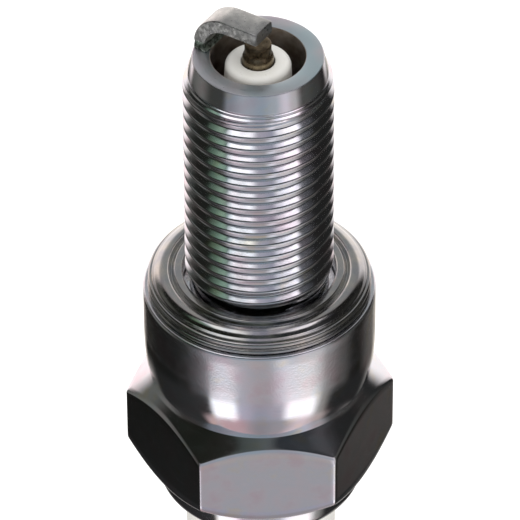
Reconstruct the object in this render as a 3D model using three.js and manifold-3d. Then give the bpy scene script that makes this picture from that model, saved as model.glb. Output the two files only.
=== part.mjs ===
import * as THREE from "three";
import { mergeVertices } from "three/addons/utils/BufferGeometryUtils.js";
import Module from "manifold-3d";

// A spark plug for a motorcycle engine, built as its real pieces. Millimetres.
// +Z is the plug's axis and points to the firing end. The origin is on the axis, in the seat plane:
// the shell's flat face that the gasket lies on.

const wasm = await Module();
wasm.setup();

// ---- Driving dimensions ----
const SEGMENTS = 24; // facets round every turned piece, all in one phase so that neighbours nest
const GAP = 0.04; // between pieces that touch on the real plug

const REACH = 19.25; // seat plane to the shell's end face
const TERMINAL_END = -50.5; // the terminal nut's free end

const THREAD = { pitch: 1.0, crest: 4.97, root: 4.39, start: 1.25, turns: 16.25 }; // M10 x 1
const TOOTH = { foot: 0.44, crest: 0.11, sunk: 0.08 }; // half widths, and depth below the root, in pitches
const PILOT = { radius: 4.28, endRadius: 4.6, length: 1.32 };
const RELIEF = { groove: 4.46, grooveZ: 17.83, land: 4.64, landTop: 17.69, landBottom: 17.48, end: 17.18 };
const BORE = { mouth: 3.1, ledge: 2.95, stem: 3.4, body: 5.85 };
const LEDGE = { top: 9.6, bottom: 8.6, drop: 0.3 }; // the insulator's internal seat

const NECK = { radius: 4.6, top: 1.4, runOut: 0.35 };
const TRUNK = { radius: 7.79, length: 3.65, waist: 7.2, waistZ: -7.48, edge: 0.17 };
const HEX = { acrossFlats: 15.8, turn: 3.39, chamferRise: 0.8436, bottomCorner: -13.24, waist: 7.3 };
const RIM = { radius: 7.0, lip: 5.42, top: -14.9, bottom: -17.05, roll: [1.2, 1.1] }; // the crimped edge

const GASKET = { inner: 5.12, outer: 7.5, lip: 1.55, crown: 1.47, crownInner: 6.05, crownOuter: 6.55 };
const FOLD = { valley: 5.92, upper: 7.2, middle: 7.35, tuck: 0.1 }; // the sheet's folds

const HEAD_RADIUS = 5.15; // the insulator outside the shell
const INSULATOR_END = -41.3;
const RIBS = { count: 5, first: -22.6, pitch: 3.1, crest: 5.05, valley: 4.35 };
const NOSE = { tip: 2.17, base: 2.7, round: 0.45, recess: 0.4 };
const BODY = { top: -3.35, bottom: -10.6, headTop: -11.15 }; // the insulator's wide middle
const CORE_BORE = 1.78; // the insulator's bore for resistor and stud

const ELECTRODE = { tip: 0.88, shaft: 1.05, bore: 1.1, headRadius: 1.72, top: REACH + 1.0 };
const STRAP = { azimuth: 147, width: 1.96, thickness: 0.95, bend: 1.97, leg: 0.17, edge: 0.12 };
const STRAP_BASE = 3.72; // the leg's centre, from the axis
const STRAP_PAST_AXIS = 0.66;
const STRAP_OFFSET = 0.28; // how far the strap is welded to one side of the radial line

const STUD = { shaft: 1.7, collar: 2.9, collarLength: 0.7, crest: 1.98, root: 1.68, end: -49.6 };
const STUD_THREAD = { pitch: 0.7, turns: 10, segments: 12 }; // M4
const NUT = { radius: 3.17, neck: 2.72, bore: 2.06, flange: 1.5, neckEnd: 3.9, tipRadius: 2.62 };

const CORE = { radius: 0.6, top: 16.5, bottom: -4.0 }; // the centre electrode's copper core
const COLUMN_RADIUS = CORE_BORE - GAP; // seals and resistor, stacked in the insulator's bore
const LOWER_GLASS = { top: CORE.bottom - GAP, bottom: -6.5 };
const RESISTOR = { top: LOWER_GLASS.bottom - GAP, bottom: -14.5 };
const UPPER_GLASS = { top: RESISTOR.bottom - GAP, bottom: -17.5 };

const PACKING = { radius: (HEAD_RADIUS + BORE.body) / 2, wire: 0.3, innerZ: -11.3, outerZ: -15.7 };
const TALC = { top: -11.65, bottom: -15.35 };
const SEAT_WASHER = { thickness: 0.33, room: 0.42 };
const BREAK = 0.08; // small breaks on turned edges
const CUT = 0.2; // over-size on the hexagon's blank, and the bores' countersinks

// ---- Helpers ----
const radians = THREE.MathUtils.degToRad;

// A body turned about the Z axis from [radius, z] points, listed down the outside and up the inside.
function turned(points, segments = SEGMENTS) {
  const closed = [...points, points[0]].reverse().map(([r, z]) => new THREE.Vector2(r, z));
  return new THREE.LatheGeometry(closed, segments).rotateX(Math.PI / 2);
}

function solidOf(geometry) {
  const bare = geometry.index ? geometry.toNonIndexed() : geometry.clone();
  bare.deleteAttribute("normal");
  bare.deleteAttribute("uv");
  const merged = mergeVertices(bare, 1e-4);
  return new wasm.Manifold(
    new wasm.Mesh({
      numProp: 3,
      vertProperties: merged.attributes.position.array,
      triVerts: new Uint32Array(merged.index.array),
    }),
  );
}

function geometryOf(solid) {
  const mesh = solid.getMesh();
  const geometry = new THREE.BufferGeometry();
  geometry.setAttribute("position", new THREE.BufferAttribute(mesh.vertProperties, mesh.numProp));
  geometry.setIndex(new THREE.BufferAttribute(mesh.triVerts, 1));
  geometry.computeVertexNormals();
  return geometry;
}

// Points on an ellipse's quarter in the [radius, z] plane, ends included.
function quarter(centre, radii, fromDegrees, toDegrees, count) {
  return Array.from({ length: count + 1 }, (_, i) => {
    const a = radians(fromDegrees + ((toDegrees - fromDegrees) * i) / count);
    return [centre[0] + radii[0] * Math.cos(a), centre[1] + radii[1] * Math.sin(a)];
  });
}

// A right-hand thread's ridge: a straight tooth wound up round the axis from azimuth -90 degrees,
// in whole facets, which rises out of its core over its first half turn and sinks again in its last.
function threadRidge({ pitch, crest, root, start, turns, segments = SEGMENTS }) {
  const sunk = TOOTH.sunk * pitch;
  const height = crest - root;
  const flank = ((TOOTH.foot - TOOTH.crest) * pitch) / height;
  const foot = TOOTH.foot * pitch + sunk * flank;
  const top = TOOTH.crest * pitch;
  const tooth = new THREE.Shape([
    new THREE.Vector2(-sunk, -foot),
    new THREE.Vector2(height, -top),
    new THREE.Vector2(height, top),
    new THREE.Vector2(-sunk, foot),
  ]);
  const ridge = new THREE.ExtrudeGeometry(tooth, {
    depth: turns,
    steps: turns * segments,
    bevelEnabled: false,
  });
  const position = ridge.attributes.position;
  for (let i = 0; i < position.count; i++) {
    const turn = position.getZ(i);
    const rise = Math.max(0.05, Math.min(1, 2 * turn, 2 * (turns - turn)));
    const radius = root - sunk + (position.getX(i) + sunk) * rise;
    const angle = (turn - 0.25) * 2 * Math.PI;
    const z = start + pitch * turn - position.getY(i);
    position.setXYZ(i, radius * Math.cos(angle), radius * Math.sin(angle), z);
  }
  return ridge;
}

// ---- Shell: thread, trunk, hexagon and crimped rim in one piece ----
function shellGeometry() {
  const pilotEnd = REACH - PILOT.length;
  const apothem = HEX.acrossFlats / 2;
  const corner = apothem / Math.cos(Math.PI / 6);
  const blank = corner + CUT; // over-size, so that the hexagon cuts it all round
  const cone = (blank - TRUNK.waist) * HEX.chamferRise;
  const hexBottom = HEX.bottomCorner - CUT * HEX.chamferRise;
  const outside = [
    [PILOT.radius - BREAK, REACH],
    [PILOT.radius, REACH - BREAK],
    [PILOT.endRadius, pilotEnd],
    [RELIEF.groove, RELIEF.grooveZ],
    [RELIEF.land, RELIEF.landTop],
    [RELIEF.land, RELIEF.landBottom],
    [THREAD.root, RELIEF.end],
    [THREAD.root, NECK.top + NECK.runOut],
    [NECK.radius, NECK.top],
    [NECK.radius, 0],
    [TRUNK.radius - TRUNK.edge, 0],
    [TRUNK.radius, -TRUNK.edge],
    ...quarter(
      [TRUNK.waist, -TRUNK.length],
      [TRUNK.radius - TRUNK.waist, -TRUNK.length - TRUNK.waistZ],
      0,
      -90,
      6,
    ),
    [blank, TRUNK.waistZ - cone],
    [blank, hexBottom],
    [HEX.waist, hexBottom - (blank - HEX.waist) * HEX.chamferRise],
    [RIM.radius, RIM.top],
    ...quarter([RIM.radius - RIM.roll[0], RIM.bottom + RIM.roll[1]], RIM.roll, 0, -90, 4),
    [RIM.lip, RIM.bottom + 0.1],
  ];
  const inside = [
    [RIM.lip, RIM.bottom + 0.65],
    [BORE.body, RIM.bottom + 1.15],
    [BORE.body, -3.0],
    [BORE.stem, -0.6],
    [BORE.stem, LEDGE.bottom - LEDGE.drop],
    [BORE.ledge, LEDGE.bottom],
    [BORE.ledge, LEDGE.top - 0.15],
    [BORE.mouth, LEDGE.top],
    [BORE.mouth, REACH],
  ];
  const corners = Array.from({ length: 6 }, (_, i) => {
    const a = radians(HEX.turn + 60 * i);
    return new THREE.Vector2(corner * Math.cos(a), corner * Math.sin(a));
  });
  const length = REACH - RIM.bottom + 2; // past the shell at both ends
  const bar = new THREE.ExtrudeGeometry(new THREE.Shape(corners), { depth: length, bevelEnabled: false });
  bar.translate(0, 0, RIM.bottom - 1);
  const turnedShell = solidOf(turned([...outside, ...inside]));
  return geometryOf(turnedShell.intersect(solidOf(bar)).add(solidOf(threadRidge(THREAD))));
}

// ---- Insulator: nose, seat, middle body and ribbed head ----
function insulatorGeometry() {
  const seatLine = (r) => LEDGE.bottom - ((r - BORE.ledge) * LEDGE.drop) / (BORE.stem - BORE.ledge);
  const noseTop = REACH - NOSE.recess;
  const stem = BORE.stem - 0.12;
  const middle = BORE.body - 0.15;
  const ribs = [];
  for (let i = 0; i < RIBS.count; i++) {
    const z = RIBS.first - i * RIBS.pitch;
    ribs.push([RIBS.valley, z + 0.35], [RIBS.crest, z - 0.55], [RIBS.crest, z - 1.45]);
    ribs.push([RIBS.valley, z - 2.4]);
  }
  const outside = [
    [ELECTRODE.bore, noseTop],
    ...quarter([NOSE.tip - NOSE.round, noseTop - NOSE.round], [NOSE.round, NOSE.round], 90, 0, 3),
    [NOSE.base, LEDGE.top + 0.2],
    [NOSE.base, seatLine(NOSE.base) - SEAT_WASHER.room],
    [stem, seatLine(stem) - SEAT_WASHER.room],
    [stem, -0.95],
    [middle, BODY.top],
    [middle, BODY.bottom],
    [HEAD_RADIUS, BODY.headTop],
    [HEAD_RADIUS, RIBS.first + 0.9],
    ...ribs,
    [4.45, RIBS.first - RIBS.count * RIBS.pitch + 0.2],
    [3.9, INSULATOR_END + 0.35],
    [3.6, INSULATOR_END],
  ];
  const inside = [
    [CORE_BORE, INSULATOR_END],
    [CORE_BORE, -2.1],
    [ELECTRODE.bore, -1.5],
  ];
  return turned([...outside, ...inside]);
}

// ---- Centre electrode: a nickel-alloy cup with a copper core ----
function centreElectrodeGeometry() {
  const { tip, shaft, headRadius, top } = ELECTRODE;
  return turned([
    [0, top],
    [tip - BREAK, top],
    [tip, top - BREAK],
    [tip, REACH + 0.25],
    [shaft, REACH - 0.05],
    [shaft, -1.6],
    [headRadius, -2.19],
    [headRadius, CORE.bottom + 0.4],
    [1.2, CORE.bottom],
    [CORE.radius, CORE.bottom],
    [CORE.radius, CORE.top],
    [0, CORE.top],
  ]);
}

// A plain turned rod or ring between two heights.
function rod(radius, top, bottom) {
  return turned([
    [0, top],
    [radius, top],
    [radius, bottom],
    [0, bottom],
  ]);
}

function tube(outer, inner, top, bottom) {
  return turned([
    [outer, top],
    [outer, bottom],
    [inner, bottom],
    [inner, top],
  ]);
}

// A ring of round wire.
function wireRing(z) {
  const { radius, wire } = PACKING;
  return turned(quarter([radius, z], [wire, wire], 90, -225, 7));
}

// ---- Ground electrode: a flat strap that rises from the end face and bends over the centre ----
function groundElectrodeGeometry() {
  const { azimuth, width, thickness, bend, leg, edge } = STRAP;
  const half = thickness / 2;
  const end = STRAP_BASE + STRAP_PAST_AXIS;
  const side = new THREE.Shape();
  side.moveTo(-half, 0);
  side.lineTo(half, 0);
  side.lineTo(half, leg);
  side.absarc(bend, leg, bend - half, Math.PI, Math.PI / 2, true);
  side.lineTo(end, leg + bend - half);
  side.lineTo(end, leg + bend + half);
  side.lineTo(bend, leg + bend + half);
  side.absarc(bend, leg, bend + half, Math.PI / 2, Math.PI, false);
  const strap = new THREE.ExtrudeGeometry(side, {
    depth: width - 2 * edge,
    curveSegments: 8,
    bevelThickness: edge,
    bevelSize: edge,
    bevelOffset: -edge,
    bevelSegments: 1,
  });
  // The strap's own x runs from its leg to the axis, and its z is the width.
  strap.translate(-STRAP_BASE, 0, edge - width / 2 + STRAP_OFFSET);
  strap.rotateX(Math.PI / 2);
  strap.rotateZ(radians(azimuth - 180));
  strap.translate(0, 0, REACH + GAP);
  return strap;
}

// ---- Gasket: a folded sheet-steel washer, captive on the neck ----
function gasketGeometry() {
  const { inner, outer, lip, crown, crownInner, crownOuter } = GASKET;
  const { valley, upper, middle, tuck } = FOLD;
  return turned([
    [inner, lip - 0.1],
    [inner + 0.1, lip],
    [valley - 0.27, crown - 0.07],
    [valley, crown - 0.22],
    [crownInner, crown],
    [crownOuter, crown],
    [6.95, 1.24],
    [upper, 1.02],
    [upper, 0.88],
    [middle, 0.84],
    [outer - 0.02, 0.66],
    [outer - 0.04, 0.48],
    [outer - 0.04 - tuck, 0.38],
    [outer - 0.03, 0.25],
    [outer, 0.12],
    [outer - tuck, GAP],
    [inner + 0.1, GAP],
    [inner, 0.3],
  ]);
}

// ---- Terminal stud and its screwed nut ----
function terminalStudGeometry() {
  const collarTop = INSULATOR_END - GAP;
  const collarBottom = collarTop - STUD.collarLength;
  const profile = [
    [0, UPPER_GLASS.bottom - GAP],
    [STUD.shaft - 0.3, UPPER_GLASS.bottom - GAP],
    [STUD.shaft, UPPER_GLASS.bottom - GAP - 0.3],
    [STUD.shaft, collarTop],
    [STUD.collar, collarTop],
    [STUD.collar, collarBottom],
    [STUD.root, collarBottom],
    [STUD.root, STUD.end + 0.3],
    [STUD.root - 0.3, STUD.end],
    [0, STUD.end],
  ];
  const body = turned(profile, STUD_THREAD.segments);
  const ridge = threadRidge({
    ...STUD_THREAD,
    crest: STUD.crest,
    root: STUD.root,
    start: STUD.end + 0.35,
  });
  return geometryOf(solidOf(body).add(solidOf(ridge)));
}

function terminalNutGeometry() {
  const top = INSULATOR_END - STUD.collarLength - 2 * GAP;
  const { radius, neck, bore, flange, neckEnd, tipRadius } = NUT;
  return turned([
    [bore + CUT, top],
    [radius - 2 * BREAK, top],
    [radius, top - 2 * BREAK],
    [radius, top - flange],
    [neck, top - flange - (radius - neck)],
    [neck, top - neckEnd],
    [radius, top - neckEnd - (radius - neck)],
    [radius, TERMINAL_END + 0.9],
    [tipRadius, TERMINAL_END],
    [bore + CUT, TERMINAL_END],
    [bore, TERMINAL_END + CUT],
    [bore, top - CUT],
  ]);
}

// ---- Packing between insulator and shell ----
function seatWasherGeometry() {
  const slope = LEDGE.drop / (BORE.stem - BORE.ledge);
  const inner = BORE.ledge + 0.03;
  const outer = BORE.stem - 0.04;
  const top = (r) => LEDGE.bottom - (r - BORE.ledge) * slope - GAP;
  return turned([
    [inner, top(inner)],
    [outer, top(outer)],
    [outer, top(outer) - SEAT_WASHER.thickness],
    [inner, top(inner) - SEAT_WASHER.thickness],
  ]);
}

// ---- Assembly ----
function finish(color, roughness, metalness) {
  return new THREE.MeshStandardMaterial({ color, roughness, metalness });
}

const plug = new THREE.Group();

function add(name, geometry, material) {
  const mesh = new THREE.Mesh(geometry, material);
  mesh.name = name;
  plug.add(mesh);
}

add("shell", shellGeometry(), finish(0xb9bbbf, 0.25, 1));
add("gasket", gasketGeometry(), finish(0x9c9d98, 0.35, 1));
add("insulator", insulatorGeometry(), finish(0xf4f1ea, 0.3, 0));
add("centre_electrode", centreElectrodeGeometry(), finish(0x4a3e33, 0.5, 1));
add(
  "centre_electrode_core",
  rod(CORE.radius - GAP, CORE.top - GAP, CORE.bottom),
  finish(0xb87333, 0.35, 1),
);
add("ground_electrode", groundElectrodeGeometry(), finish(0x8d8c8a, 0.45, 1));
add("lower_glass_seal", rod(COLUMN_RADIUS, LOWER_GLASS.top, LOWER_GLASS.bottom), finish(0x3d3a38, 0.3, 0));
add("resistor", rod(COLUMN_RADIUS, RESISTOR.top, RESISTOR.bottom), finish(0x2b2a2a, 0.8, 0));
add("upper_glass_seal", rod(COLUMN_RADIUS, UPPER_GLASS.top, UPPER_GLASS.bottom), finish(0x3d3a38, 0.3, 0));
add("terminal_stud", terminalStudGeometry(), finish(0xa9a8a5, 0.35, 1));
add("terminal_nut", terminalNutGeometry(), finish(0xc9c7c0, 0.3, 1));
add("seat_washer", seatWasherGeometry(), finish(0x8f8f8c, 0.5, 1));
add("inner_packing_ring", wireRing(PACKING.innerZ), finish(0x8f8f8c, 0.5, 1));
add(
  "talc_ring",
  tube(BORE.body - GAP, HEAD_RADIUS + GAP, TALC.top, TALC.bottom),
  finish(0xd9d5c8, 0.9, 0),
);
add("outer_packing_ring", wireRing(PACKING.outerZ), finish(0x8f8f8c, 0.5, 1));

export default plug;
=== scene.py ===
import math

import bmesh
import bpy
import numpy as np
from mathutils import Matrix, Vector


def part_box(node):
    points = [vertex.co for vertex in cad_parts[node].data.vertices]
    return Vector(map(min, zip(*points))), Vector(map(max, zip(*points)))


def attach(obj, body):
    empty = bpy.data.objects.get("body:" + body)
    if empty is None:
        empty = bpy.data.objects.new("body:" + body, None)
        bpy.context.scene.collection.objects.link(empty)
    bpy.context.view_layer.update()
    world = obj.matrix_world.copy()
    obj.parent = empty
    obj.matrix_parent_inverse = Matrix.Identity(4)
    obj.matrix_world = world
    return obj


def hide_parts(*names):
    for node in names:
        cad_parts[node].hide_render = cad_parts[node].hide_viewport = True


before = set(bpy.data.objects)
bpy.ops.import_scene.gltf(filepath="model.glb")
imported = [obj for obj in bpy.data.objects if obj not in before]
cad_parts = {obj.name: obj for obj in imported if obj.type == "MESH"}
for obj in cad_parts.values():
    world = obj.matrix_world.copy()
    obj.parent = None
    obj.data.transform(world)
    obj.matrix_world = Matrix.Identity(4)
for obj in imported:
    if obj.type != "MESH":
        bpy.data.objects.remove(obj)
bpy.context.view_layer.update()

# A small spark plug, firing end up. Sizes are in millimetres and heights are above the seat plane,
# the shell's face that the gasket lies on. MM turns them into Blender's metres.
MM = 0.001

END_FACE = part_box("shell")[1].z / MM  # the shell's end, round the insulator's nose
RIM_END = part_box("shell")[0].z / MM
INSULATOR_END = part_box("insulator")[0].z / MM
ELECTRODE_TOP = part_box("centre_electrode")[1].z / MM
STUD_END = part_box("terminal_stud")[0].z / MM
TERMINAL_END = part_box("terminal_nut")[0].z / MM
NUT_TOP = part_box("terminal_nut")[1].z / MM
NUT_TRAVEL = 9.0  # how far the terminal nut comes down off its stud
FLOOR_CLEARANCE = 0.1  # between the lowered nut and the floor
GAP = 0.04  # air between pieces that touch on the real plug

THREAD = {"pitch": 1.0, "crest": 4.96, "root": 4.55, "start": 1.25, "turns": 16.25}
THREAD_ZONE = (1.2, 17.42)
TOOTH_FOOT = 0.365  # half a tooth's width at its foot, in pitches
TOOTH_FLANK = 0.295  # the width of one flank, in pitches
PILOT_END = END_FACE - 1.32
NECK = 4.6
MOUTH = 3.1
BORE = 5.85
TRUNK = 7.785
HEX_APOTHEM = 7.9
HEX_TURN = 3.39  # azimuth of the corner by +X, in degrees
HEX_RISE = 0.8436  # height lost for each millimetre of radius on the hexagon's chamfers
HEX_WAIST = (7.2, -7.48)
HEX_LOW_WAIST = 7.3
HEX_BOTTOM = -13.24
HEX_CORNER = HEX_APOTHEM / math.cos(math.radians(30))
HEX_LOW_WAIST_Z = HEX_BOTTOM - (HEX_CORNER - HEX_LOW_WAIST) * HEX_RISE
CORNER_RADIUS = 0.25
EDGE = 0.13

STRAP = {"azimuth": 147, "width": 1.95, "thickness": 0.94, "bend": 1.97, "leg": 0.17}
STRAP_BASE = 3.72
STRAP_PAST_AXIS = 0.65
STRAP_OFFSET = 0.28
STRAP_EDGE = 0.13  # how round its long edges are
WELD_REACH = 4.24  # the bead stays inside the end face's outer edge

RIBS = {"count": 5, "first": -22.6, "pitch": 3.1, "crest": 5.04, "valley": 4.35}
STUD_THREAD = {"pitch": 0.7, "crest": 1.97, "root": 1.68, "start": -49.25, "turns": 10}

PALE = (1, 1, 1, 1)


# ---- Mesh building ----
def smooth(x):
    x = np.clip(x, 0, 1)
    return x * x * (3 - 2 * x)


def eased_ramp(t, ease=0.12):
    """Rises from 0 at t = 0 to 1 at t = 1 in a straight line, with both corners rounded."""

    def bend(v):
        return np.where(v < -ease, 0, np.where(v < ease, (v + ease) ** 2 / (4 * ease), v))

    return bend(t) - bend(t - 1)


def outline(points, steps=4):
    """[radius, height] points, where a third number rounds that corner."""
    points = [(*p, 0)[:3] for p in points]
    made = []
    for i, (r, z, fillet) in enumerate(points):
        here = np.array((r, z))
        if not fillet or i in (0, len(points) - 1):
            made.append(here)
            continue
        before = np.array(points[i - 1][:2]) - here
        after = np.array(points[i + 1][:2]) - here
        reach = [min(fillet, 0.49 * np.linalg.norm(v)) for v in (before, after)]
        start = here + before * reach[0] / np.linalg.norm(before)
        end = here + after * reach[1] / np.linalg.norm(after)
        for t in np.linspace(0, 1, steps + 1):
            made.append(start * (1 - t) ** 2 + here * 2 * t * (1 - t) + end * t * t)
    return made


def arc(centre, radii, from_degrees, to_degrees, steps):
    """Points on an ellipse's arc in the [radius, height] plane."""
    angles = np.radians(np.linspace(from_degrees, to_degrees, steps + 1))
    return [(centre[0] + radii[0] * math.cos(a), centre[1] + radii[1] * math.sin(a)) for a in angles]


def even_columns(count):
    return np.linspace(0, 360, count + 1)


def level(points, columns):
    """Rows that keep one radius and height all the way round."""
    return [np.tile(np.asarray(p[:2], float), (len(columns), 1)) for p in points]


def helix_rows(thread, zone, core, columns):
    """Rows that climb with a right-hand thread, from the top of zone to its bottom.
    They are held inside zone, so those that leave it lie on its edge and merge there."""
    pitch, turns = thread["pitch"], thread["turns"]
    depth = thread["crest"] - thread["root"]
    lift = (columns + 90) / 360
    half = [0.42, 0.395, 0.375, 0.36, 0.34, 0.31, 0.22, 0.13, 0.1, 0.08, 0.065, 0.05, 0.03]
    across = [0.5, *half, *[-u for u in reversed(half)]]
    rows = []
    for n in range(int(turns) + 2, -3, -1):
        for u in across:
            turn = n + lift
            z = np.clip(thread["start"] + pitch * (turn + u), *zone)
            off = np.abs((z - thread["start"]) / pitch - turn)
            rise = np.clip(np.minimum(2 * turn, 2 * (turns - turn)), 0, 1)
            tooth = thread["root"] + depth * rise * eased_ramp((TOOTH_FOOT - off) / TOOTH_FLANK)
            rows.append(np.stack([np.maximum(core(z), tooth), z], -1))
    return rows


def mesh_piece(name, vertices, faces):
    """A smooth-shaded object of one mesh, its doubled vertices merged. Vertices are in millimetres."""
    mesh = bpy.data.meshes.new(name)
    mesh.from_pydata((np.asarray(vertices) * MM).tolist(), [], faces)
    work = bmesh.new()
    work.from_mesh(mesh)
    bmesh.ops.remove_doubles(work, verts=work.verts, dist=2e-4 * MM)
    bmesh.ops.dissolve_degenerate(work, edges=work.edges, dist=1e-4 * MM)
    loose = [e for e in work.edges if not e.link_faces]
    bmesh.ops.delete(work, geom=loose, context="EDGES")
    work.to_mesh(mesh)
    work.free()
    mesh.polygons.foreach_set("use_smooth", [True] * len(mesh.polygons))
    mesh.set_sharp_from_angle(angle=math.radians(34))
    piece = bpy.data.objects.new(name, mesh)
    bpy.context.scene.collection.objects.link(piece)
    return piece


def grid_faces(rows, columns, loop_rows):
    """Quads between consecutive rows, and between the last and the first if the rows close on themselves."""
    last = rows if loop_rows else rows - 1
    faces = []
    for i in range(last):
        a, b = i * columns, (i + 1) % rows * columns
        faces += [(a + j, b + j, b + j + 1, a + j + 1) for j in range(columns - 1)]
    return faces


def turned(name, rows, columns, closed=True):
    """A body round the axis, from rows of [radius, height] listed down the outside and up the inside."""
    rows = np.array(rows)
    angles = np.radians(columns)
    x = rows[:, :, 0] * np.cos(angles)
    y = rows[:, :, 0] * np.sin(angles)
    vertices = np.stack([x, y, rows[:, :, 1]], -1).reshape(-1, 3)
    return mesh_piece(name, vertices, grid_faces(len(rows), len(columns), closed))


def weigh_normals(piece):
    """Large faces keep their flat shading, and the narrow rounded edges take the turn."""
    modifier = piece.modifiers.new("weighted_normals", "WEIGHTED_NORMAL")
    modifier.keep_sharp = True
    modifier.weight = 60


# ---- Pieces ----
def hexagon_columns():
    """Azimuths round the shell, close together at the hexagon's corners."""
    sector = [0, 0.35, 0.9, *np.linspace(2.2, 57.8, 23), 59.1, 59.65]
    turns = [HEX_TURN + 60 * i + a for i in range(6) for a in sector]
    return np.array([*turns, HEX_TURN + 360])


def hexagon_radius(columns):
    from_corner = np.radians((columns - HEX_TURN + 30) % 60 - 30)
    flat = HEX_APOTHEM / np.cos(math.radians(30) - np.abs(from_corner))
    centre = (HEX_APOTHEM - CORNER_RADIUS) / math.cos(math.radians(30))
    side = centre * np.sin(from_corner)
    rounded = centre * np.cos(from_corner) + np.sqrt(np.maximum(CORNER_RADIUS**2 - side**2, 0))
    reach = math.atan2(CORNER_RADIUS / 2, centre + CORNER_RADIUS * math.cos(math.radians(30)))
    return np.where(np.abs(from_corner) < reach, rounded, flat)


def hexagon_rows(columns):
    radius = hexagon_radius(columns)
    waist, waist_z = HEX_WAIST
    top = waist_z - (radius - waist) * HEX_RISE
    bottom = HEX_BOTTOM - (HEX_CORNER - radius) * HEX_RISE

    def cone(r, edge, sign):
        return np.stack([r, edge + sign * (radius - r) * HEX_RISE], -1)

    def rounded_edge(before, edge, after):
        return [before, 0.25 * before + 0.5 * edge + 0.25 * after, after]

    rows = [cone(waist + (radius - EDGE - waist) * f, top, 1) for f in (0.04, 0.3, 0.6, 0.85)]
    wall_top = np.stack([radius, top - EDGE], -1)
    rows += rounded_edge(cone(radius - EDGE, top, 1), np.stack([radius, top], -1), wall_top)
    wall_bottom = np.stack([radius, bottom + EDGE], -1)
    rows += [wall_top + (wall_bottom - wall_top) * f for f in (0.1, 0.3, 0.5, 0.7, 0.9)]
    low = cone(radius - EDGE, bottom, -1)
    rows += rounded_edge(wall_bottom, np.stack([radius, bottom], -1), low)
    inner = np.tile((HEX_LOW_WAIST + 0.1, HEX_LOW_WAIST_Z + 0.1 * HEX_RISE), (len(columns), 1))
    rows += [low + (inner - low) * f for f in (0.33, 0.67, 1)]
    return rows


def make_shell():
    columns = hexagon_columns()
    bottom, top = THREAD_ZONE
    core_points = [(1.4, NECK), (1.75, THREAD["root"]), (17.2, THREAD["root"]), (top, 4.8)]
    heights, radii = zip(*core_points)

    def core(z):
        return np.interp(z, heights, radii)

    nose = outline(
        [
            (MOUTH, END_FACE - 0.4),
            (MOUTH, END_FACE, 0.06),
            (4.28, END_FACE, 0.07),
            (4.6, PILOT_END, 0.05),
            (4.47, PILOT_END - 0.05),
            (4.5, PILOT_END - 0.09, 0.02),
            (4.64, PILOT_END - 0.16, 0.03),
            (4.68, PILOT_END - 0.27, 0.03),
            (4.87, PILOT_END - 0.38, 0.04),
            (float(core(top)), top),
        ]
    )
    trunk = outline(
        [
            (NECK, bottom - 0.05),
            (NECK, 0, 0.08),
            (TRUNK, 0, 0.2),
            *[(TRUNK, z) for z in (-0.9, -1.8, -2.7)],
            *arc((HEX_WAIST[0], -3.65), (TRUNK - HEX_WAIST[0], 3.83), 0, -84, 12),
            (HEX_WAIST[0] + 0.012, HEX_WAIST[1] + 0.01),
        ]
    )
    rim = outline(
        [
            (HEX_LOW_WAIST, HEX_LOW_WAIST_Z + 0.02),
            (7.0, RIM_END + 2.15),
            *arc((5.8, RIM_END + 1.1), (1.2, 1.1), 0, -90, 12),
            (5.42, RIM_END + 0.1, 0.15),
            (5.42, RIM_END + 0.65, 0.1),
            (BORE, RIM_END + 1.15),
            (BORE, -3.0),
            (3.4, -0.6),
            (3.4, 8.3),
            (2.95, 8.6),
            (2.95, 9.45),
            (MOUTH, 9.6),
        ]
    )
    rows = level(nose, columns) + helix_rows(THREAD, THREAD_ZONE, core, columns)
    rows += level(trunk, columns) + hexagon_rows(columns) + level(rim, columns)
    shell = turned("shell_fine", rows, columns)
    weigh_normals(shell)
    return shell


def make_gasket():
    columns = even_columns(144)
    profile = outline(
        [
            (5.13, 0.9),
            (5.13, 1.4, 0.05),
            (5.24, 1.45, 0.08),
            (5.66, 1.4, 0.05),
            (5.72, 1.3, 0.05),
            (5.88, 1.12, 0.05),
            (5.95, 1.18, 0.03),
            (6.08, 1.42, 0.1),
            (6.3, 1.47, 0.2),
            (6.62, 1.41, 0.15),
            (6.86, 1.27, 0.15),
            (7.04, 1.09, 0.04),
            (7.21, 1.02, 0.05),
            (7.14, 0.93, 0.02),
            *arc((7.27, 0.7), (0.2, 0.2), 115, -35, 10),
            (7.36, 0.43, 0.02),
            *arc((7.32, 0.21), (0.17, 0.17), 75, -50, 8),
            (7.35, 0.05),
            (5.3, 0.05, 0.1),
            (5.13, 0.25, 0.1),
        ],
        steps=5,
    )
    rows = level(profile, columns)
    around = np.radians(columns)
    sway = 0.02 * np.sin(2 * around + 0.6) + 0.012 * np.sin(5 * around + 2.0)
    for row in rows:
        lift = smooth((row[:, 1] - 0.3) / 0.6)
        row[:, 1] -= 0.5 * np.abs(sway) * lift
    return turned("gasket_fine", rows, columns)


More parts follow.
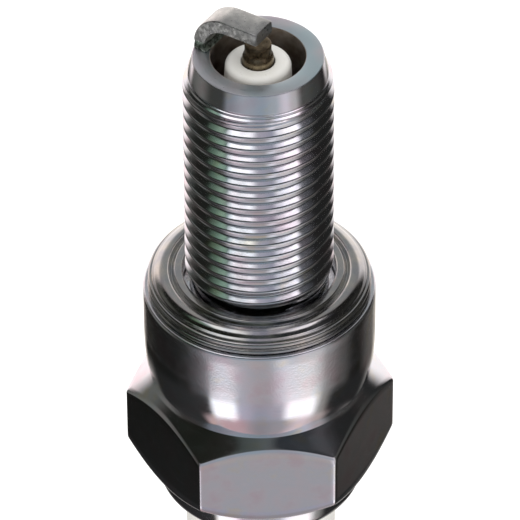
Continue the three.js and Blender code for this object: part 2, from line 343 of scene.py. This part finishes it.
def make_insulator():
    columns = even_columns(144)
    ribs = []
    for i in range(RIBS["count"]):
        z = RIBS["first"] - i * RIBS["pitch"]
        ribs += [(RIBS["valley"], z + 0.35, 0.3), (RIBS["crest"], z - 0.55, 0.35)]
        ribs += [(RIBS["crest"], z - 1.45, 0.35), (RIBS["valley"], z - 2.4, 0.3)]
    low = RIBS["first"] - RIBS["count"] * RIBS["pitch"]
    nose_top = END_FACE - 0.4
    profile = outline(
        [
            (1.1, nose_top - 0.3),
            (1.1, nose_top, 0.1),
            *arc((1.72, nose_top - 0.45), (0.45, 0.45), 90, 8, 8),
            (2.3, 15.6),
            (2.7, 9.8, 0.3),
            (2.7, 8.25),
            (3.28, 7.9),
            (3.28, -0.95),
            (5.7, -3.35),
            (5.7, -10.6, 0.3),
            (5.15, -11.15, 0.3),
            (5.15, -18.2),
            (5.15, RIBS["first"] + 0.9, 0.4),
            *ribs,
            (4.45, low + 0.2, 0.4),
            (4.2, -39.5),
            (3.9, INSULATOR_END + 0.35, 0.25),
            (3.6, INSULATOR_END, 0.2),
            (1.78, INSULATOR_END, 0.1),
            (1.78, -2.1),
            (1.1, -1.5),
        ],
        steps=5,
    )
    return turned("insulator_fine", level(profile, columns), columns)


def make_centre_electrode():
    columns = even_columns(96)
    profile = outline(
        [
            (0, ELECTRODE_TOP),
            (0.5, ELECTRODE_TOP),
            (0.88, ELECTRODE_TOP, 0.07),
            (0.87, END_FACE + 0.6),
            (0.9, END_FACE + 0.3, 0.1),
            (1.03, END_FACE + 0.02, 0.15),
            (1.05, END_FACE - 0.5),
            (1.05, 13.0),
            (1.05, -1.6),
            (1.7, -2.19, 0.1),
            (1.7, -3.6, 0.1),
            (1.2, -4.0, 0.1),
            (0.62, -4.0),
            (0.62, 16.5),
            (0, 16.5),
        ]
    )
    return turned("centre_electrode_fine", level(profile, columns), columns, closed=False)


def rounded_rectangle(width, height, radius, steps=3):
    """[across, through] points round a section, counter-clockwise."""
    points = []
    for quarter, (sx, sy) in enumerate([(1, 1), (-1, 1), (-1, -1), (1, -1)]):
        centre = (sx * (width / 2 - radius), sy * (height / 2 - radius))
        points += arc(centre, (radius, radius), 90 * quarter, 90 * quarter + 90, steps)
    return np.array(points)


def strap_stations():
    """The strap's centre line from the bend's start to the tip: [distance towards the axis, height],
    and the direction there."""
    bend, leg = STRAP["bend"], STRAP["leg"]
    stations = []
    for turn in np.linspace(0, 90, 17)[1:]:
        a = math.radians(turn)
        stations.append(((bend * (1 - math.cos(a)), leg + bend * math.sin(a)), 90 - turn))
    end = STRAP_BASE + STRAP_PAST_AXIS
    for f in (0.25, 0.5, 0.75, 0.97):
        stations.append(((bend + (end - bend) * f, leg + bend), 0))
    return stations, end


def place_strap(along, across, height):
    """From the strap's own directions to the frame's millimetres."""
    a = math.radians(STRAP["azimuth"])
    outward = np.array((math.cos(a), math.sin(a), 0))
    sideways = np.array((-math.sin(a), math.cos(a), 0))
    out = STRAP_BASE - np.asarray(along)[..., None]
    side = np.asarray(across)[..., None]
    up = np.asarray(height)[..., None] * np.array((0, 0, 1.0))
    return out * outward + side * sideways + up + np.array((0, 0, END_FACE + GAP))


def make_ground_electrode():
    section = rounded_rectangle(STRAP["width"], STRAP["thickness"], STRAP_EDGE)
    stations, end = strap_stations()
    rings = []
    lumps = 1 + 0.25 * np.sin(np.arange(len(section)) * 2.3)
    for height, spread in ((0, 0.3), (0.1, 0.3), (0.2, 0.22), (0.3, 0.1)):
        # The weld bead spreads over the end face, but not past its outer edge.
        wide = section * (1 + 2 * spread / np.array((STRAP["width"], STRAP["thickness"])))
        wide[:, 0] *= 1 + 0.12 * spread * lumps
        ring = place_strap(-wide[:, 1], wide[:, 0] + STRAP_OFFSET, height * lumps)
        reach = np.hypot(ring[:, 0], ring[:, 1])
        ring[:, :2] *= (np.minimum(reach, WELD_REACH) / reach)[:, None]
        rings.append(ring)
    for (along, height), direction in stations:
        a = math.radians(direction)
        # A section's first number runs across the strap, its second to the bend's outside.
        along_ring = along - section[:, 1] * math.sin(a)
        height_ring = height + section[:, 1] * math.cos(a)
        rings.append(place_strap(along_ring, section[:, 0] + STRAP_OFFSET, height_ring))
    # The tip's edge is rounded by two shrinking rings.
    for inset, part in ((0.02, 0.985), (0.05, 1)):
        shrunk = section * (1 - 2 * inset / np.array((STRAP["width"], STRAP["thickness"])))
        along_ring = np.full(len(shrunk), STRAP["bend"] + (end - STRAP["bend"]) * part)
        height_ring = STRAP["leg"] + STRAP["bend"] + shrunk[:, 1]
        rings.append(place_strap(along_ring, shrunk[:, 0] + STRAP_OFFSET, height_ring))
    count = len(section)
    vertices = np.concatenate(rings)
    faces = []
    for i in range(len(rings) - 1):
        a, b = i * count, (i + 1) * count
        faces += [(a + j, a + (j + 1) % count, b + (j + 1) % count, b + j) for j in range(count)]
    faces.append(tuple(reversed(range(count))))
    faces.append(tuple(range(len(vertices) - count, len(vertices))))
    return mesh_piece("ground_electrode_fine", vertices, faces)


def make_terminal_stud():
    columns = even_columns(72)
    collar_top = INSULATOR_END - GAP
    collar_bottom = collar_top - 0.7
    root = STUD_THREAD["root"]
    head = outline(
        [
            (0, -17.54),
            (1.4, -17.54, 0.1),
            (1.7, -17.84, 0.1),
            (1.7, collar_top),
            (2.89, collar_top, 0.08),
            (2.89, collar_bottom, 0.08),
            (root, collar_bottom, 0.1),
            (root, collar_bottom - 0.1),
        ]
    )
    zone = (STUD_END + 0.3, collar_bottom - 0.12)
    tip = outline([(root, STUD_END + 0.28), (root - 0.3, STUD_END, 0.05), (0, STUD_END)])
    rows = level(head, columns)
    rows += helix_rows(STUD_THREAD, zone, lambda z: np.full_like(z, root), columns)
    rows += level(tip, columns)
    return turned("terminal_stud_fine", rows, columns, closed=False)


def make_terminal_nut():
    columns = even_columns(144)
    top, bore, radius, neck = NUT_TOP, 2.06, 3.165, 2.72
    profile = outline(
        [
            (bore, top - 0.3),
            (bore + 0.2, top, 0.1),
            (radius, top, 0.16),
            (radius, top - 1.5, 0.2),
            (neck, top - 1.95, 0.3),
            (neck, top - 3.9, 0.3),
            (radius, top - 4.35, 0.25),
            (radius, -48.4),
            (radius, TERMINAL_END + 0.9, 0.3),
            (2.62, TERMINAL_END, 0.2),
            (bore + 0.2, TERMINAL_END, 0.06),
            (bore, TERMINAL_END + 0.2),
        ],
        steps=5,
    )
    return turned("terminal_nut_fine", level(profile, columns), columns)


# ---- Materials ----
def fill_ramp(node, stops):
    """Puts (position, colour or gray) stops on a colour ramp, in rising order."""
    elements = node.color_ramp.elements
    elements[0].position = stops[0][0]
    elements[1].position = stops[-1][0]
    for position, _ in stops[1:-1]:
        elements.new(position)
    for element, (_, color) in zip(elements, stops):
        element.color = (*color, 1) if hasattr(color, "__len__") else (color, color, color, 1)


def put_node(tree, kind, settings=None, output=0, **inputs):
    """Adds a node and gives one of its outputs. An input goes by its name, or by its number: n0, n1."""
    node = tree.nodes.new(kind)
    for key, value in (settings or {}).items():
        setattr(node, key, value)
    for key, value in inputs.items():
        socket = node.inputs[int(key[1:])] if key[0] == "n" and key[1:].isdigit() else node.inputs[key]
        if isinstance(value, bpy.types.NodeSocket):
            tree.links.new(value, socket)
        else:
            socket.default_value = value
    return node.outputs[output]


class Look:
    """A procedural material. Lengths in its patterns are in millimetres."""

    def __init__(self, name, **constants):
        self.material = bpy.data.materials.new(name)
        self.material.use_nodes = True
        self.tree = self.material.node_tree
        self.shader = self.tree.nodes["Principled BSDF"]
        for socket, value in constants.items():
            self.shader.inputs[socket.replace("_", " ")].default_value = value
        place = self.tree.nodes.new("ShaderNodeTexCoord").outputs["Object"]
        self.place = self.put("ShaderNodeVectorMath", {"operation": "SCALE"}, Vector=place, Scale=1 / MM)

    def put(self, kind, settings=None, output=0, **inputs):
        return put_node(self.tree, kind, settings, output, **inputs)

    def math(self, operation, a, b=0.0):
        return self.put("ShaderNodeMath", {"operation": operation}, n0=a, n1=b)

    def mix(self, factor, a, b):
        return self.put("ShaderNodeMix", {"data_type": "RGBA"}, output=2, n0=factor, n6=a, n7=b)

    def radius(self):
        """Distance from the axis."""
        flat = self.stretched((1, 1, 0))
        return self.put("ShaderNodeVectorMath", {"operation": "LENGTH"}, output=1, n0=flat)

    def height(self):
        return self.put("ShaderNodeSeparateXYZ", output=2, Vector=self.place)

    def stretched(self, scale):
        return self.put("ShaderNodeVectorMath", {"operation": "MULTIPLY"}, n0=self.place, n1=scale)

    def noise(self, scale, detail=2.0, vector=None, roughness=0.5):
        return self.put(
            "ShaderNodeTexNoise",
            Vector=vector or self.place,
            Scale=scale,
            Detail=detail,
            Roughness=roughness,
        )

    def lathe_marks(self, scale):
        """Fine rings round the axis, on walls and on end faces alike."""
        across = self.math("MULTIPLY", self.radius(), scale)
        along = self.math("ADD", across, self.math("MULTIPLY", self.height(), scale))
        slow = self.stretched((0.05, 0.05, 0))
        line = self.put("ShaderNodeCombineXYZ", Z=along)
        return self.noise(1.0, 3.0, self.put("ShaderNodeVectorMath", {"operation": "ADD"}, n0=slow, n1=line))

    def ramp(self, factor, *stops):
        node = self.tree.nodes.new("ShaderNodeValToRGB")
        fill_ramp(node, stops)
        self.tree.links.new(factor, node.inputs[0])
        return node.outputs[0]

    def spread(self, factor, low, high, from_low=0.3, from_high=0.7):
        return self.put(
            "ShaderNodeMapRange",
            {"clamp": True},
            Value=factor,
            n1=from_low,
            n2=from_high,
            n3=low,
            n4=high,
        )

    def bump(self, height, strength, depth, under=None):
        inputs = {"Height": height, "Strength": strength, "Distance": depth * MM}
        if under is not None:
            inputs["Normal"] = under
        return self.put("ShaderNodeBump", **inputs)

    def wear(self, *socket_values):
        for socket, value in socket_values:
            self.tree.links.new(value, self.shader.inputs[socket])
        return self.material


def zinc_plate():
    """Bright zinc plating: a faint play of pink, blue and straw over steel, with fine turning rings."""
    look = Look("zinc_plate", Metallic=1.0)
    tint = look.ramp(
        look.noise(0.55, 3.0),
        (0.3, (0.80, 0.72, 0.76)),
        (0.45, (0.80, 0.79, 0.82)),
        (0.58, (0.76, 0.80, 0.84)),
        (0.72, (0.82, 0.80, 0.72)),
    )
    rings = look.lathe_marks(14.0)
    pits = look.noise(9.0, 3.0)
    roughness = look.spread(look.math("ADD", look.noise(1.3, 4.0), rings), 0.07, 0.15, 0.7, 1.3)
    # The end face is duller, and the bore behind it is stained brown.
    height = look.height()
    end = look.spread(height, 0.0, 1.0, END_FACE - 0.12, END_FACE - 0.02)
    heated = look.ramp(
        look.noise(0.22, 2.0), (0.38, (0.58, 0.7, 0.74)), (0.5, (0.7, 0.7, 0.73)), (0.62, (0.6, 0.53, 0.6))
    )
    tint = look.mix(end, tint, heated)
    # The upper part of the trunk is left grainy by the stamping press.
    grainy = look.math(
        "MULTIPLY", look.spread(height, 0.0, 0.08, -3.7, -3.2), look.spread(height, 1.0, 0.0, 0.0, 0.3)
    )
    bore = look.spread(look.radius(), 1.0, 0.0, MOUTH + 0.02, MOUTH + 0.07)
    stain = look.ramp(look.noise(1.1, 4.0), (0.35, (0.32, 0.26, 0.21)), (0.65, (0.52, 0.47, 0.43)))
    tint = look.mix(bore, tint, stain)
    roughness = look.math("ADD", roughness, look.math("MULTIPLY", end, 0.2))
    roughness = look.math("ADD", look.math("ADD", roughness, grainy), look.math("MULTIPLY", bore, 0.3))
    relief = look.bump(rings, 0.12, 0.004)
    relief = look.bump(pits, 0.1, 0.008, relief)
    grain = look.math("MULTIPLY", look.noise(7.0, 3.0), look.math("MULTIPLY", grainy, 12.0))
    relief = look.bump(grain, 0.25, 0.02, relief)
    return look.wear(("Base Color", tint), ("Roughness", roughness), ("Normal", relief))


def satin_steel(name, dark, light, low=0.2, high=0.38, ring_scale=10.0):
    look = Look(name, Metallic=1.0)
    color = look.ramp(look.noise(0.8, 4.0), (0.35, dark), (0.68, light))
    rings = look.lathe_marks(ring_scale)
    roughness = look.spread(look.noise(2.2, 3.0), low, high)
    relief = look.bump(rings, 0.2, 0.006)
    relief = look.bump(look.noise(6.0, 3.0), 0.15, 0.01, relief)
    return look.wear(("Base Color", color), ("Roughness", roughness), ("Normal", relief))


def ceramic():
    """Alumina: bare and matte at the nose, glazed outside the shell."""
    look = Look("white_ceramic", Metallic=0.0, IOR=1.6, Coat_Roughness=0.06)
    color = look.ramp(look.noise(0.7, 4.0), (0.35, (0.87, 0.85, 0.79)), (0.65, (0.9, 0.89, 0.85)))
    speck = look.spread(look.noise(5.0, 2.0), 0.0, 1.0, 0.70, 0.76)
    color = look.mix(speck, color, (0.7, 0.66, 0.6, 1))
    height = look.height()
    bare = look.spread(height, 0.0, 1.0, -4.0, -2.0)
    roughness = look.math("ADD", look.math("MULTIPLY", bare, 0.45), look.spread(look.noise(3.0), 0.1, 0.16))
    relief = look.bump(look.noise(7.0, 4.0), 0.12, 0.012)
    return look.wear(("Base Color", color), ("Roughness", roughness), ("Normal", relief))


def fired_alloy():
    """The centre electrode: dark brown heat oxide, rubbed to metal in places."""
    look = Look("fired_alloy", Metallic=1.0)
    patches = look.noise(2.4, 5.0)
    color = look.ramp(
        patches,
        (0.35, (0.11, 0.085, 0.05)),
        (0.55, (0.19, 0.15, 0.095)),
        (0.75, (0.32, 0.26, 0.17)),
    )
    roughness = look.spread(look.noise(4.0, 3.0), 0.22, 0.5)
    relief = look.bump(look.lathe_marks(5.0), 0.12, 0.008)
    return look.wear(("Base Color", color), ("Roughness", roughness), ("Normal", relief))


def sheared_alloy():
    """The ground strap: matte gray rolled faces, with torn streaks through its cut sides."""
    look = Look("sheared_alloy", Metallic=1.0)
    height = look.height()
    weld = look.spread(height, 1.0, 0.0, END_FACE + 0.3, END_FACE + 0.5)
    bead = look.ramp(look.noise(3.5, 3.0), (0.4, (0.16, 0.19, 0.15)), (0.6, (0.5, 0.56, 0.5)))
    color = look.ramp(
        look.noise(1.6, 5.0),
        (0.35, (0.42, 0.42, 0.41)),
        (0.55, (0.52, 0.52, 0.5)),
        (0.72, (0.62, 0.61, 0.59)),
    )
    color = look.mix(weld, color, bead)
    streaks = look.noise(1.0, 4.0, look.stretched((5.0, 5.0, 1.2)), 0.6)
    roughness = look.spread(look.noise(5.0, 3.0), 0.24, 0.4)
    # The two sheared sides are torn; the rolled faces are only scratched.
    facing = look.tree.nodes.new("ShaderNodeTexCoord").outputs["Normal"]
    a = math.radians(STRAP["azimuth"])
    sideways = (math.sin(a), -math.cos(a), 0)
    aside = look.put("ShaderNodeVectorMath", {"operation": "DOT_PRODUCT"}, output=1, n0=facing, n1=sideways)
    torn = look.spread(look.math("ABSOLUTE", aside), 0.12, 1.0, 0.8, 0.95)
    relief = look.bump(look.math("MULTIPLY", streaks, torn), 0.5, 0.09)
    chips = look.math("MULTIPLY", look.noise(9.0, 4.0, roughness=0.7), torn)
    relief = look.bump(chips, 0.5, 0.05, relief)
    scatter = look.spread(look.noise(3.5, 4.0, roughness=0.6), 0.15, 0.55, 0.42, 0.62)
    metallic = look.math("SUBTRACT", 1.0, look.math("MULTIPLY", scatter, torn))
    look.wear(("Metallic", metallic))
    return look.wear(("Base Color", color), ("Roughness", roughness), ("Normal", relief))


def powder(name, dark, light, roughness=(0.6, 0.9), grain=6.0):
    look = Look(name, Metallic=0.0)
    color = look.ramp(look.noise(grain, 5.0), (0.35, dark), (0.65, light))
    rough = look.spread(look.noise(grain * 0.5, 2.0), *roughness)
    relief = look.bump(look.noise(grain * 2, 4.0), 0.4, 0.03)
    return look.wear(("Base Color", color), ("Roughness", rough), ("Normal", relief))


# ---- Studio ----
def paint_world():
    """The light by direction. Reflections see six bands of stops round the object, diffuse rays an
    even gradient, and the camera plain pale. The 100 stops were set, most from colours read
    off the reference photograph, so they are fitted to the front view and are not a plain studio."""
    world = bpy.data.worlds.new("studio")
    bpy.context.scene.world = world
    world.use_nodes = True
    tree = world.node_tree
    tree.nodes.clear()
    world.cycles.sampling_method = "NONE"

    def put(kind, settings=None, output=0, **inputs):
        return put_node(tree, kind, settings, output, **inputs)

    def calc(operation, a, b=0.0):
        return put("ShaderNodeMath", {"operation": operation}, n0=a, n1=b)

    def curve(value, *stops):
        """A brightness that follows value through (value, brightness or colour) stops."""
        node = tree.nodes.new("ShaderNodeValToRGB")
        node.color_ramp.interpolation = "EASE"
        start, span = stops[0][0], stops[-1][0] - stops[0][0]
        fill_ramp(node, [((at - start) / span, color) for at, color in stops])
        along = calc("DIVIDE", calc("SUBTRACT", value, float(start)), float(span))
        tree.links.new(along, node.inputs[0])
        return node.outputs[0]

    direction = tree.nodes.new("ShaderNodeTexCoord").outputs["Generated"]
    parts = tree.nodes.new("ShaderNodeSeparateXYZ")
    tree.links.new(direction, parts.inputs[0])
    x, y, z = parts.outputs
    degrees = 180 / math.pi
    azimuth = calc("MULTIPLY", calc("ARCTAN2", x, calc("MULTIPLY", y, -1.0)), degrees)
    elevation = calc("MULTIPLY", calc("ARCSINE", z), degrees)
    roll = calc("MULTIPLY", calc("ARCTAN2", x, z), degrees)
    depth = calc("DIVIDE", y, calc("MAXIMUM", z, 0.05))

    # Azimuths run from -180 at the back through 0 in front; each list is a height band's brightness.
    low = curve(
        azimuth,
        (-180, (0.85, 0.8, 0.72)),
        (-168, (0.7, 0.64, 0.58)),
        (-154, (0.014, 0.013, 0.011)),
        (-118, (0.009, 0.009, 0.008)),
        (-96, (0.008, 0.009, 0.008)),
        (-80, (0.02, 0.02, 0.019)),
        (-65, (0.1, 0.096, 0.1)),
        (-51, (0.33, 0.31, 0.33)),
        (-38, (0.54, 0.48, 0.53)),
        (-23, (0.47, 0.44, 0.46)),
        (0, (0.44, 0.39, 0.38)),
        (8, (0.4, 0.375, 0.37)),
        (22, (0.84, 0.8, 0.86)),
        (32, (0.62, 0.59, 0.62)),
        (43, (0.68, 0.63, 0.62)),
        (58, (0.62, 0.6, 0.6)),
        (72, (0.3, 0.28, 0.28)),
        (89, (0.12, 0.11, 0.105)),
        (106, (0.013, 0.012, 0.011)),
        (118, (0.014, 0.013, 0.011)),
        (126, (0.055, 0.05, 0.047)),
        (131, (0.09, 0.08, 0.075)),
        (150, (0.12, 0.11, 0.1)),
        (166, (0.7, 0.64, 0.56)),
        (180, (0.85, 0.8, 0.72)),
    )
    band = curve(
        azimuth,
        (-180, (0.8, 0.76, 0.72)),
        (-130, (0.02, 0.02, 0.02)),
        (-56, (0.03, 0.03, 0.03)),
        (-47, (1.5, 1.45, 1.5)),
        (-30, (1.5, 1.45, 1.5)),
        (-20, (0.5, 0.46, 0.55)),
        (0, (0.35, 0.34, 0.4)),
        (20, (0.42, 0.4, 0.46)),
        (33, (1.5, 1.4, 1.45)),
        (54, (1.5, 1.4, 1.4)),
        (68, (0.3, 0.28, 0.26)),
        (82, (0.02, 0.02, 0.02)),
        (130, (0.02, 0.02, 0.02)),
        (180, (0.8, 0.76, 0.72)),
    )
    under = curve(
        azimuth,
        (-180, (0.5, 0.48, 0.46)),
        (-120, (0.03, 0.03, 0.03)),
        (-72, (0.03, 0.03, 0.03)),
        (-58, (0.6, 0.42, 0.42)),
        (-30, (0.55, 0.38, 0.4)),
        (0, (0.3, 0.27, 0.29)),
        (24, (0.36, 0.33, 0.35)),
        (50, (0.8, 0.62, 0.64)),
        (70, (0.5, 0.42, 0.4)),
        (92, (0.03, 0.03, 0.03)),
        (180, (0.5, 0.48, 0.46)),
    )
    middle = curve(
        azimuth,
        (-180, (1.5, 1.42, 1.38)),
        (-140, (1.3, 1.15, 1.14)),
        (-126, (0.12, 0.12, 0.11)),
        (-100, (0.16, 0.16, 0.15)),
        (-76, (0.05, 0.05, 0.045)),
        (-58, (0.05, 0.05, 0.047)),
        (-46, (0.24, 0.25, 0.28)),
        (-22, (0.36, 0.39, 0.43)),
        (4, (0.31, 0.35, 0.4)),
        (24, (0.4, 0.42, 0.45)),
        (42, (0.68, 0.64, 0.7)),
        (56, (0.5, 0.48, 0.48)),
        (72, (0.08, 0.08, 0.075)),
        (104, (0.05, 0.05, 0.047)),
        (128, (0.02, 0.02, 0.02)),
        (142, (1.2, 1.1, 1.08)),
        (180, (1.5, 1.42, 1.38)),
    )
    upper = curve(
        azimuth,
        (-180, (0.36, 0.37, 0.38)),
        (-154, (0.42, 0.41, 0.42)),
        (-140, (0.4, 0.37, 0.38)),
        (-128, (0.015, 0.016, 0.014)),
        (-60, (0.012, 0.013, 0.01)),
        (-34, (0.02, 0.021, 0.018)),
        (-16, (0.07, 0.08, 0.075)),
        (8, (0.1, 0.11, 0.11)),
        (24, (0.03, 0.035, 0.04)),
        (50, (0.04, 0.042, 0.046)),
        (64, (0.07, 0.07, 0.075)),
        (84, (0.02, 0.02, 0.02)),
        (128, (0.015, 0.015, 0.014)),
        (140, (0.3, 0.29, 0.3)),
        (154, (0.36, 0.36, 0.37)),
        (180, (0.36, 0.37, 0.38)),
    )
    overhead = curve(
        roll,
        (-180, 0.02),
        (-70, (0.02, 0.022, 0.02)),
        (-48, (0.025, 0.035, 0.028)),
        (-42, (0.1, 0.15, 0.11)),
        (-34, (0.26, 0.38, 0.29)),
        (-31, (0.12, 0.18, 0.15)),
        (-29, (0.9, 1.0, 1.05)),
        (-27, (1.5, 1.5, 1.55)),
        (-13, (1.4, 1.4, 1.46)),
        (-3, (0.42, 0.4, 0.46)),
        (9, (0.36, 0.35, 0.42)),
        (17, (1.1, 1.05, 1.15)),
        (22, (1.6, 1.5, 1.6)),
        (31, (1.6, 1.5, 1.6)),
        (35, (0.1, 0.1, 0.11)),
        (50, (0.02, 0.02, 0.02)),
        (180, 0.02),
    )

    def blend(factor, a, b):
        return put("ShaderNodeMix", {"data_type": "RGBA"}, output=2, n0=factor, n6=a, n7=b)

    def step(value, start, end):
        settings = {"interpolation_type": "SMOOTHSTEP"}
        return put("ShaderNodeMapRange", settings, Value=value, n1=start, n2=end, n3=0.0, n4=1.0)

    glossy = blend(step(elevation, -53.0, -50.0), under, band)
    glossy = blend(step(elevation, -44.0, -41.5), glossy, low)
    glossy = blend(step(elevation, -34.0, -24.0), glossy, middle)
    glossy = blend(step(elevation, 17.0, 34.0), glossy, upper)
    # The overhead boxes hang just in front of the object, and reach less far forward at their ends.
    inward = calc("MULTIPLY", calc("ABSOLUTE", roll), 0.008)
    nearer = step(calc("SUBTRACT", depth, inward), -0.54, -0.47)
    above = calc("MULTIPLY", nearer, step(elevation, 36.0, 50.0))
    above = calc("MULTIPLY", above, step(depth, 0.22, 0.06))
    glossy = blend(above, glossy, overhead)
    soft = curve(elevation, (-90, 0.75), (-10, 0.8), (30, 1.05), (90, 1.15))
    path = tree.nodes.new("ShaderNodeLightPath")
    light = blend(path.outputs["Is Diffuse Ray"], glossy, soft)
    light = blend(path.outputs["Is Camera Ray"], light, PALE)
    background = tree.nodes.new("ShaderNodeBackground")
    tree.links.new(light, background.inputs["Color"])
    output = tree.nodes.new("ShaderNodeOutputWorld")
    tree.links.new(background.outputs[0], output.inputs["Surface"])


def make_floor():
    size = 3000
    height = TERMINAL_END - NUT_TRAVEL - FLOOR_CLEARANCE
    corners = [(-size, -size, 0), (size, -size, 0), (size, size, 0), (-size, size, 0)]
    floor = mesh_piece("floor", np.array(corners) + (0, 0, height), [(0, 1, 2, 3)])
    look = Look("pale_floor", Roughness=0.9, Specular_IOR_Level=0.1, Emission_Strength=0.42)
    color = look.ramp(look.noise(0.02, 2.0), (0.3, (0.88, 0.88, 0.875)), (0.7, (0.9, 0.9, 0.895)))
    look.wear(("Base Color", color), ("Emission Color", color))
    floor.data.materials.append(look.material)
    floor.visible_glossy = False


def place_camera():
    data = bpy.data.cameras.new("camera")
    camera = bpy.data.objects.new("camera", data)
    bpy.context.scene.collection.objects.link(camera)
    data.lens = 376.94
    data.sensor_width = 36
    data.shift_x = 0.0017
    data.shift_y = -0.0506
    data.clip_start = 0.01
    data.clip_end = 10
    target = Vector((0, 0, 4.25)) * MM
    elevation, distance, roll = math.radians(39.8), 361.4 * MM, math.radians(-0.348)
    back = Vector((0, -math.cos(elevation), math.sin(elevation)))
    facing = back.to_track_quat("Z", "Y").to_matrix().to_4x4()
    place = Matrix.Translation(target + back * distance)
    camera.matrix_world = place @ facing @ Matrix.Rotation(roll, 4, "Z")
    bpy.context.scene.camera = camera


# ---- Assembly ----
plate, ceramic_look = zinc_plate(), ceramic()
fired, strap_look = fired_alloy(), sheared_alloy()
gasket_look = satin_steel("gasket_steel", (0.46, 0.47, 0.48), (0.58, 0.56, 0.51), 0.1, 0.19, 3.0)
nut_look = satin_steel("nickel_plate", (0.66, 0.63, 0.58), (0.76, 0.74, 0.7), 0.14, 0.28)
stud_look = satin_steel("stud_steel", (0.45, 0.44, 0.42), (0.6, 0.58, 0.55), 0.25, 0.45)

PIECES = [
    (make_shell, plate, "plug", "shell", "shell_plating"),
    (make_gasket, gasket_look, "gasket", "gasket", "gasket_steel"),
    (make_insulator, ceramic_look, "plug", "insulator", "insulator_ceramic"),
    (make_centre_electrode, fired, "plug", "centre_electrode", "centre_alloy"),
    (make_ground_electrode, strap_look, "plug", "ground_electrode", "ground_alloy"),
    (make_terminal_stud, stud_look, "plug", "terminal_stud", "terminal_steel"),
    (make_terminal_nut, nut_look, "terminal_nut", "terminal_nut", "terminal_plating"),
]
for make, look, body, node, slot in PIECES:
    piece = make()
    piece.data.materials.append(look)
    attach(piece, body)
    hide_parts(node)

glass = powder("glass_seal", (0.05, 0.045, 0.04), (0.12, 0.1, 0.09), (0.15, 0.35))
packing = satin_steel("packing_steel", (0.4, 0.4, 0.39), (0.55, 0.54, 0.52), 0.3, 0.5)
HIDDEN_LOOKS = {
    "centre_electrode_core": satin_steel("copper_core", (0.72, 0.35, 0.2), (0.88, 0.5, 0.32), 0.25, 0.45),
    "lower_glass_seal": glass,
    "resistor": powder("resistor_compound", (0.02, 0.02, 0.02), (0.06, 0.055, 0.05)),
    "upper_glass_seal": glass,
    "seat_washer": packing,
    "inner_packing_ring": packing,
    "outer_packing_ring": packing,
    "talc_ring": powder("talc", (0.62, 0.6, 0.52), (0.76, 0.73, 0.66)),
}
for node, look in HIDDEN_LOOKS.items():
    cad_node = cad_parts[node]
    if not cad_node.material_slots:
        cad_node.data.materials.append(look)
    for material_slot in cad_node.material_slots:
        material_slot.material = look

paint_world()
make_floor()
place_camera()
bpy.context.scene.view_settings.view_transform = "Standard"
